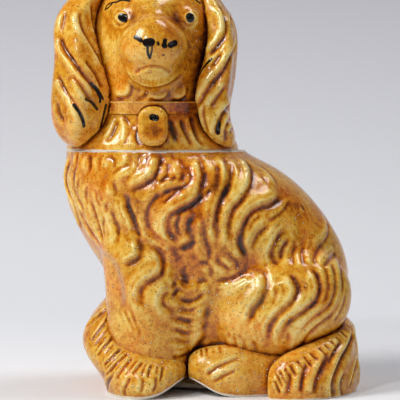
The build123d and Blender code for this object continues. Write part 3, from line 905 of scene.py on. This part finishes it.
# ears: hanging, combed into twisted strands
earLook = {
    "voxel": 0.7, "blendVoxel": 1.6, "blendRounds": 8, "soften": 4, "swell": 0.5,
    "turnY": -14.0, "blistersAndGlints": 0.12,
    "deep": lookTool(1.9, 2.4, 9.0, 1.5, 1.9),
    "plain": lookTool(1.3, 2.0, 7.0, 1.0, 1.5),
}
rightEarDeep = [
    (80,8, 81,20, 84,31, 89,41, 95,50, 100,58, 104,68, 108,78, 110,90),
    (60,34, 63,46, 69,56, 76,65, 83,74, 90,82, 97,93),
]
rightEarPlain = [
    (84,58, 89,65, 95,73, 99,81, 103,90), (58,74, 62,84, 67,93, 73,102, 80,113, 84,124),
    (72,73, 80,84, 87,95, 95,105), (92,3, 92,14, 94,26, 97,38), (66,10, 63,22, 62,33),
    (57,100, 59,112, 65,124),
]
leftEarDeep = [
    (217,3, 224,13, 227,23, 226,33, 221,42, 214,50, 208,58),
    (237,40, 233,52, 229,62, 222,73, 214,82, 207,91, 201,101, 198,110),
    (236,84, 233,97, 228,107, 222,117, 218,128, 218,136),
]
leftEarPlain = [
    (228,8, 231,18, 231,28), (228,84, 221,93, 215,101, 210,110), (233,108, 229,120, 226,132, 226,143),
    (237,118, 233,127, 230,134), (224,52, 217,60, 211,69), (205,100, 203,112, 205,124, 210,136),
]
enamelRight = [
    (0.8, 91,83, 96,90, 100,98, 100,102), (0.7, 95,86, 100,93, 103,99), (1.0, 86,99, 92,103, 97,109),
    (1.1, 74,105, 79,112, 83,121, 84,126), (0.8, 111,90, 109,97), (0.9, 106,105, 103,118, 100,129),
]
enamelLeft = [(0.8, 211,59, 204,67, 199,76, 195,88), (1.2, 219,123, 218,133)]
earPools = [  # pixel place, radius, amount
    (224, 55, 16, 0.07), (222, 105, 14, 0.08), (212, 112, 9, -0.1), (222, 70, 8, -0.05),
    (215, 95, 7, -0.05), (78, 50, 7, 0.12), (75, 72, 6, 0.1), (80, 128, 9, -0.1), (62, 30, 7, -0.08),
    (98, 60, 6, -0.08),
]


def makeEar(name, nodeName, deep, plain, enamel):
    look = earLook
    ear = clayCopy(name, [nodeName], look["swell"])
    softenSkin(ear, look)
    tree = skinTree(ear)
    middle = np.array([0, look["turnY"], 0])
    tools = []
    for toolName, strokes in (("deep", deep), ("plain", plain)):
        paths = drawnPaths(tree, strokes)
        backs = [farTwin(path - middle) + middle for path in paths]
        tools += [(look[toolName], paths), (otherHand(look[toolName]), backs)]
    sculptLocks(ear, tools)
    tree = skinTree(ear)
    addPoolAndShade(ear, drawnSpots(tree, earPools))
    markBlistersAndGlints(ear, look["blistersAndGlints"])
    markPaint(ear, brushStrokes(tree, enamel))
    return ear


rightEar = makeEar("rightEar", "right_ear", rightEarDeep, rightEarPlain, enamelRight)
leftEar = makeEar("leftEar", "left_ear", leftEarDeep, leftEarPlain, enamelLeft)
print("ears modelled")

# collar and padlock
trimLook = {
    "collarVoxel": 0.6, "collarSoften": 9, "padlockVoxel": 0.5, "padlockSoften": 5,
    "swell": 0.5, "sink": 0.8, "lean": 2.2,
}
collarPoolShadeAndLight = [  # pixel place, radius, amount: painted shade on the right side of the collar, and paler spots along its lower edge that stand partly for thin glaze and partly for a painted highlight
    (176, 105, 6, 0.22), (190, 107, 8, 0.34), (122, 107, 5, -0.06), (134, 103, 5, 0.12),
    (113, 105, 4, 0.14), (118, 113, 3, -0.16), (128, 114, 3, -0.16), (136, 114, 3, -0.14),
]
padlockPools = [(155, 130, 4, 0.16)]
keyhole = [(2.1, 152,117, 156,118)]


def makeCollar():
    collar = clayCopy("collarBand", ["collar"], trimLook["swell"])
    voxelSkin(collar, trimLook["collarVoxel"], trimLook["collarSoften"])
    pts, normals = getPoints(collar), getNormals(collar)
    low, high = pts[:, 2].min(), pts[:, 2].max()
    pts -= normals * (trimLook["sink"] + trimLook["lean"] * (pts[:, 2] - low) / (high - low))[:, None]
    setPoints(collar, pts)
    markGlaze(collar)
    addPoolAndShade(collar, drawnSpots(skinTree(collar), collarPoolShadeAndLight))
    markPaint(collar)
    return collar


def makePadlock():
    padlock = clayCopy("padlockTag", ["padlock"], trimLook["swell"])
    voxelSkin(padlock, trimLook["padlockVoxel"], trimLook["padlockSoften"])
    markGlaze(padlock)
    tree = skinTree(padlock)
    addPoolAndShade(padlock, drawnSpots(tree, padlockPools))
    markPaint(padlock, brushStrokes(tree, keyhole))
    return padlock


collarBand = makeCollar()
padlockTag = makePadlock()
print("collar and padlock modelled")

joinPlan = [  # pieces, reach in millimetres, how much thicker the glaze is, with painted shade where the pieces meet
    ([dogBody, plumeTail, feet["near_hind_paw"], feet["far_hind_paw"]], 2.0, 0.42),
    ([dogBody, feet["near_forepaw"], feet["far_forepaw"]], 1.6, 0.14),
    ([dogHead, rightEar, leftEar, padlockTag], 2.2, 0.3),
]
for pieces, reach, strength in joinPlan:
    markJoinsAndShade(pieces, reach, strength)


def shade(r, g, b):  # a photo colour as shader light
    light = [v / 255 / 12.92 if v <= 10 else ((v / 255 + 0.055) / 1.055) ** 2.4 for v in (r, g, b)]
    return (*light, 1.0)


class NodeBench:  # lays out one material's nodes
    def __init__(self, name):
        self.material = bpy.data.materials.new(name)
        self.material.use_nodes = True
        self.tree = self.material.node_tree
        self.shader = next(n for n in self.tree.nodes if n.type == "BSDF_PRINCIPLED")
        self.coords = self.tree.nodes.new("ShaderNodeTexCoord").outputs["Object"]

    def plug(self, value, socket):
        if isinstance(value, bpy.types.NodeSocket):
            self.tree.links.new(value, socket)
        else:
            socket.default_value = value

    def add(self, kind, values, **settings):  # a node with its settings and what goes into its sockets
        node = self.tree.nodes.new("ShaderNode" + kind)
        for name, value in settings.items():
            setattr(node, name, value)
        for key, value in values.items():
            self.plug(value, node.inputs[key])
        return node

    def sum(self, kind, a, b=0.0, clamp=False):
        return self.add("Math", {0: a, 1: b}, operation=kind, use_clamp=clamp).outputs[0]

    def noise(self, scale, detail=3.0, rough=0.55, shift=0.0):
        spot = self.coords
        if shift:
            spot = self.add("Mapping", {"Vector": spot, "Location": (shift, shift * 0.7, -shift)}).outputs[0]
        values = {"Vector": spot, "Scale": scale, "Detail": detail, "Roughness": rough}
        return self.add("TexNoise", values).outputs["Fac"]

    def cloud(self, noise, low, high, to0, to1):  # a stretch of a noise: scale, detail, roughness, shift
        return self.span(self.noise(*noise), low, high, to0, to1)

    def dots(self, scale, least, edge, core, amount=1.0, kind="LINEAR"):  # round spots, strewn
        cells = self.add("TexVoronoi", {"Vector": self.coords, "Scale": scale})
        pick = self.add("SeparateColor", {0: cells.outputs["Color"]}).outputs[0]
        spot = self.span(cells.outputs["Distance"], edge, core, 0, amount, kind)
        return self.sum("MULTIPLY", self.sum("GREATER_THAN", pick, least), spot)

    def mark(self, name):
        return self.add("Attribute", {}, attribute_name=name).outputs["Fac"]

    def span(self, value, low, high, to0=0.0, to1=1.0, kind="LINEAR"):
        values = {0: value, 1: low, 2: high, 3: to0, 4: to1}
        return self.add("MapRange", values, interpolation_type=kind).outputs[0]

    def ramp(self, value, stops):
        node = self.add("ValToRGB", {0: value})
        while len(node.color_ramp.elements) < len(stops):
            node.color_ramp.elements.new(0.5)
        for element, (at, colour) in zip(node.color_ramp.elements, stops):
            element.position, element.color = at, shade(*colour)
        return node.outputs[0]

    def mix(self, amount, a, b, kind="MIX"):
        return self.add("Mix", {0: amount, 6: a, 7: b}, data_type="RGBA", blend_type=kind).outputs[2]

    def bump(self, height, strength, depth):
        node = self.add("Bump", {"Strength": strength, "Distance": depth * mm, "Height": height})
        self.plug(node.outputs[0], self.shader.inputs["Normal"])

    def clearBack(self):  # the paper shows from the front alone, so that other views see past it
        facing = self.add("NewGeometry", {}).outputs["Backfacing"]
        clear = self.add("BsdfTransparent", {}).outputs[0]
        blend = self.add("MixShader", {0: facing, 1: self.shader.outputs[0], 2: clear})
        output = next(n for n in self.tree.nodes if n.type == "OUTPUT_MATERIAL")
        self.plug(blend.outputs[0], output.inputs["Surface"])


# finishes
glazeLook = {
    "stops": [  # glaze colour from thin to thick
        (0.0, (248, 220, 140)), (0.2, (238, 194, 88)), (0.38, (220, 154, 38)), (0.52, (194, 116, 16)),
        (0.66, (146, 76, 10)), (0.82, (84, 38, 8)), (1.0, (38, 17, 8)),
    ],
    "mottles": [((280, 5, 0.7), 0.17), ((48, 3, 0.5, 3.1), 0.09)],
    "orange": (230, 128, 14), "orangeCloud": ((34, 2, 0.5, 1.7), 0.45, 0.65, 0, 0.5), "orangeShare": 0.5,
    "olive": (168, 134, 62), "oliveCloud": ((26, 2, 0.5, 5.3), 0.55, 0.72, 0, 0.45), "oliveShare": 0.6,
    "wiped": (200, 156, 116), "wipedShare": 0.75, "enamel": (20, 13, 11), "enamelEdge": (-0.2, 0.2),
    "clay": (236, 228, 212), "clayShade": (214, 202, 184), "clayGrain": (300, 4),
    "bareCloud": ((160, 3), 0.3, 0.7, -0.3, 0.3), "bareEdge": (0.4, 0.6),
    "roughCloud": ((90, 3, 0.6, 2.2), 0.3, 0.7, 0.112, 0.24), "bareRough": 0.6, "ior": 1.48,
    "specks": [((330, 0.6, 0.2, 0.1, 0.75), (70, 36, 14)), ((640, 0.5, 0.34, 0.16, 0.55), (84, 46, 18))],
    # a blister is a brown ring round a pale spot; the pale spot is a painted glint
    "blisterRing": ((0.42, 0.3, 0.4), (104, 56, 16)), "paintedGlint": ((0.21, 0.12, 0.85), (255, 242, 200)),
    "seedCells": 420, "seed": (0.3, 0.0, 0.3, "SMOOTHSTEP"),
    "blisterCells": 210, "blister": (0.24, 0.0, 1.0, "SMOOTHSTEP"), "blisteredAndGlinting": (0.0, 1.0, 1.0, 0.3),
    "pits": (520, 0.8, 0.2, 0.05, 0.5), "swell": (120, 3), "swellShare": 0.35, "bump": (0.8, 0.6),
}


def honeyGlaze():
    bench = NodeBench("honeyGlaze")
    look = glazeLook
    poolAndShade = bench.mark("poolAndShade")
    for noise, reach in look["mottles"]:
        poolAndShade = bench.sum("ADD", poolAndShade, bench.cloud(noise, 0.3, 0.7, -reach, reach))
    colour = bench.ramp(poolAndShade, look["stops"])
    orange = bench.mix(look["orangeShare"], colour, shade(*look["orange"]), "OVERLAY")
    colour = bench.mix(bench.cloud(*look["orangeCloud"]), colour, orange)
    olive = bench.mix(look["oliveShare"], colour, shade(*look["olive"]))
    colour = bench.mix(bench.cloud(*look["oliveCloud"]), colour, olive)
    wiped = bench.sum("MULTIPLY", bench.mark("fettled"), look["wipedShare"])
    colour = bench.mix(wiped, colour, shade(*look["wiped"]))
    for speck, tone in look["specks"]:
        colour = bench.mix(bench.dots(*speck), colour, shade(*tone))
    blisteredAndGlinting = bench.span(bench.mark("blistersAndGlints"), *look["blisteredAndGlinting"])
    for sizes, tone in (look["blisterRing"], look["paintedGlint"]):  # brown round the blister's edge, and a pale painted glint inside it
        colour = bench.mix(bench.dots(look["seedCells"], blisteredAndGlinting, *sizes), colour, shade(*tone))
    enamel = bench.span(bench.mark("enamel"), *look["enamelEdge"])
    colour = bench.mix(enamel, colour, shade(*look["enamel"]))
    bareEdge = bench.sum("ADD", bench.mark("bare"), bench.cloud(*look["bareCloud"]))
    bare = bench.span(bareEdge, *look["bareEdge"])
    clay = bench.mix(bench.noise(*look["clayGrain"]), shade(*look["clay"]), shade(*look["clayShade"]))
    colour = bench.mix(bare, colour, clay)
    bench.plug(colour, bench.shader.inputs["Base Color"])
    bareRough = bench.sum("MULTIPLY", bare, look["bareRough"])
    rough = bench.sum("ADD", bench.cloud(*look["roughCloud"]), bareRough, True)
    bench.plug(rough, bench.shader.inputs["Roughness"])
    bench.shader.inputs["IOR"].default_value = look["ior"]
    blister = bench.dots(look["blisterCells"], blisteredAndGlinting, *look["blister"])
    blister = bench.sum("ADD", blister, bench.dots(look["seedCells"], blisteredAndGlinting, *look["seed"]))
    height = bench.sum("MULTIPLY", bench.noise(*look["swell"]), look["swellShare"])
    height = bench.sum("SUBTRACT", bench.sum("ADD", height, blister), bench.dots(*look["pits"]))
    bench.bump(height, *look["bump"])
    return bench.material


clayLook = {
    "stops": [(0.25, (196, 178, 152)), (0.5, (222, 207, 182)), (0.75, (236, 224, 204))],
    "grain": (260, 5, 0.65), "stain": (196, 150, 92), "stainCloud": ((30, 2, 0.5, 1.3), 0.55, 0.75, 0, 0.35),
    "rough": (0.2, 0.8, 0.72, 0.9), "bump": (0.4, 0.3),
}


def bareClay():
    bench = NodeBench("bareClay")
    look = clayLook
    grain = bench.noise(*look["grain"])
    stain = bench.cloud(*look["stainCloud"])
    colour = bench.mix(stain, bench.ramp(grain, look["stops"]), shade(*look["stain"]))
    bench.plug(colour, bench.shader.inputs["Base Color"])
    bench.plug(bench.span(grain, *look["rough"]), bench.shader.inputs["Roughness"])
    bench.bump(grain, *look["bump"])
    return bench.material


glaze, clay = honeyGlaze(), bareClay()
print("glaze and clay mixed")

trunkNodes = ["jar_near_half", "jar_far_half", "near_foreleg", "far_foreleg", "near_haunch", "far_haunch"]
finishPlan = [(dogBody, "jar", trunkNodes), *[(foot, "jar", [nodeName]) for nodeName, foot in feet.items()]]
finishPlan += [
    (plumeTail, "jar", ["tail"]), (dogHead, "head_lid", ["face_half", "head_back_half"]),
    (rightEar, "head_lid", ["right_ear"]), (leftEar, "head_lid", ["left_ear"]),
    (collarBand, "head_lid", ["collar"]), (padlockTag, "head_lid", ["padlock"]),
]
for piece, body, nodeNames in finishPlan:
    finishPiece(piece, body, glaze, "honey_glaze", *nodeNames)
for nodeName in ("base_slab", "lid_flange"):
    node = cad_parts[nodeName]
    node.data.materials.clear()
    node.data.materials.append(clay)
print("pieces finished")

# paper sweep and lamps
stageLook = {
    "reach": 3.0, "wall": 0.9, "rise": 2.2, "bend": 0.5, "bendSteps": 14, "edge": 0.01, "rough": 0.9,
    "paintedShadeTones": [(0.0, (240, 242, 246)), (1.0, (180, 179, 187))], "fade": (0.0, 0.4),
}
roomLook = {"colour": (0.9, 0.92, 1.0, 1.0), "strength": 0.1, "aim": (0, 0, 0.12)}
lampPlan = [  # place, energy, size, colour
    ((-1.15, -0.6, 1.3), 19.6, 0.6, (1.0, 0.98, 0.95)),
    ((1.2, -0.6, 0.6), 0.5, 0.5, (0.95, 0.97, 1.0)),
    ((0.15, -1.4, 1.1), 0.9, 0.6, (1.0, 1.0, 1.0)),
    ((-0.5, -0.9, 0.9), 3.2, 0.09, (1.0, 1.0, 1.0)),
    ((0.6, 0.1, 1.7), 9.0, 0.6, (1.0, 1.0, 1.0)),
]


def pickEdges(piece, wanted):  # in edit mode, picks the edges whose two ends are wanted
    bpy.ops.object.mode_set(mode="EDIT")
    bpy.ops.mesh.select_mode(type="EDGE")
    bpy.ops.mesh.select_all(action="DESELECT")
    bpy.ops.object.mode_set(mode="OBJECT")
    for edge in piece.data.edges:
        edge.select = all(wanted(piece.data.vertices[i].co) for i in edge.vertices)
    bpy.ops.object.mode_set(mode="EDIT")


def makeSweep():
    look = stageLook
    bpy.ops.object.select_all(action="DESELECT")
    bpy.ops.mesh.primitive_plane_add(size=2 * look["reach"], location=(0, look["wall"] - look["reach"], 0))
    sweep = bpy.context.object
    sweep.name = "paperSweep"
    bpy.ops.object.transform_apply(location=True, rotation=True, scale=True)
    back = look["wall"] - look["edge"]
    pickEdges(sweep, lambda co: co.y > back)
    bpy.ops.mesh.extrude_region_move(TRANSFORM_OT_translate={"value": (0, 0, look["rise"])})
    pickEdges(sweep, lambda co: co.y > back and co.z < look["edge"])
    bpy.ops.mesh.bevel(offset=look["bend"], segments=look["bendSteps"])
    bpy.ops.object.mode_set(mode="OBJECT")
    bpy.ops.object.shade_smooth()
    bench = NodeBench("sweepPaper")
    split = bench.add("SeparateXYZ", {0: bench.coords})
    # the paper is painted darker towards the top of the wall: painted shade for the light falling off with
    # height
    height = bench.span(split.outputs[2], *look["fade"])
    bench.plug(bench.ramp(height, look["paintedShadeTones"]), bench.shader.inputs["Base Color"])
    bench.shader.inputs["Roughness"].default_value = look["rough"]
    bench.clearBack()
    sweep.data.materials.append(bench.material)


def addLamps():
    aim = Vector(roomLook["aim"])
    for place, energy, size, colour in lampPlan:
        bpy.ops.object.light_add(type="AREA", location=place)
        lamp = bpy.context.object
        lamp.data.energy, lamp.data.size, lamp.data.color = energy, size, colour
        lamp.rotation_mode = "QUATERNION"
        lamp.rotation_quaternion = (aim - Vector(place)).to_track_quat("-Z", "Y")
    world = bpy.data.worlds.new("softRoom")
    world.use_nodes = True
    background = world.node_tree.nodes["Background"]
    background.inputs[0].default_value = roomLook["colour"]
    background.inputs[1].default_value = roomLook["strength"]
    bpy.context.scene.world = world


makeSweep()
addLamps()
bpy.context.scene.view_settings.view_transform = "Standard"
print("stage set")
